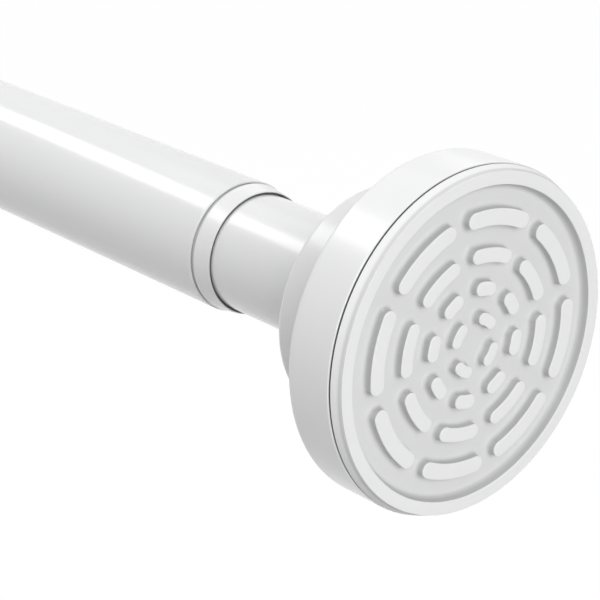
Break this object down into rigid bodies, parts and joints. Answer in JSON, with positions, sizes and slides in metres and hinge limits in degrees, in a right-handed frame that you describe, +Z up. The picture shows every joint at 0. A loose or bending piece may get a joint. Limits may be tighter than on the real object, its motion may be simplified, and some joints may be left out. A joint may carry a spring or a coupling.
{
  "type": "extendable shower curtain rod",
  "caption": "Telescopic shower curtain rod of two white steel tubes with a twist lock inside and a swivelling cup with a treaded rubber pad at each end.",
  "frame": {"origin": "centre of the contact plane of the outer tube's end pad", "axes": "+X along the rod to the inner tube's end, +Z up"},
  "size_m": [1.121, 0.079, 0.079],
  "materials": {
    "coated_steel": "glossy white coating on steel tube",
    "white_moulding": "satin white moulded plastic",
    "pad_rubber": "matte white rubber",
    "plug_nylon": "natural nylon, as moulded",
    "black_rubber": "matte black rubber",
    "zinc_steel": "bright zinc plate",
    "spring_steel": "oiled spring steel"
  },
  "bodies": {
    "outer_end": {"outer_end_cup": "white_moulding", "outer_end_pad": "pad_rubber"},
    "outer_rod": {"outer_tube": "coated_steel", "tube_collar": "white_moulding", "outer_end_plug": "plug_nylon", "outer_pivot_screw": "zinc_steel", "outer_pivot_washer": "zinc_steel"},
    "expander": {"expander_sleeve": "plug_nylon", "expander_cone": "plug_nylon", "drag_ring": "black_rubber"},
    "spindle": {"lock_spindle": "zinc_steel", "spindle_clip": "spring_steel", "stop_nut": "zinc_steel", "tension_spring": "spring_steel"},
    "glide": {"glide_ring": "plug_nylon"},
    "inner_rod": {"inner_tube": "coated_steel", "lock_nut": "plug_nylon", "inner_end_plug": "plug_nylon", "inner_pivot_screw": "zinc_steel", "inner_pivot_washer": "zinc_steel"},
    "inner_end": {"inner_end_cup": "white_moulding", "inner_end_pad": "pad_rubber"}
  },
  "joints": [
    {"name": "outer_swivel", "type": "hinge", "parent": "outer_end", "child": "outer_rod", "pos_m": [0.012, 0, 0], "axis": [1, 0, 0], "continuous": true},
    {"name": "telescope", "type": "slide", "parent": "outer_rod", "child": "expander", "axis": [1, 0, 0], "range_m": [-0.036, 0.73]},
    {"name": "spring_stroke", "type": "slide", "parent": "expander", "child": "spindle", "axis": [-1, 0, 0], "range_m": [0, 0.008], "stiffness_N_per_m": 5000, "springref_m": -0.004, "deforming": ["tension_spring"]},
    {"name": "thread_feed", "type": "slide", "parent": "spindle", "child": "glide", "axis": [1, 0, 0], "range_m": [0, 0.0201]},
    {"name": "twist", "type": "hinge", "parent": "glide", "child": "inner_rod", "pos_m": [0.2279, 0, 0], "axis": [1, 0, 0], "range_deg": [0, 1800]},
    {"name": "inner_swivel", "type": "hinge", "parent": "inner_rod", "child": "inner_end", "pos_m": [1.109, 0, 0], "axis": [1, 0, 0], "continuous": true}
  ],
  "couplings": [
    {"joint": "thread_feed", "follows": "twist", "m_per_rad": 0.00063662}
  ]
}
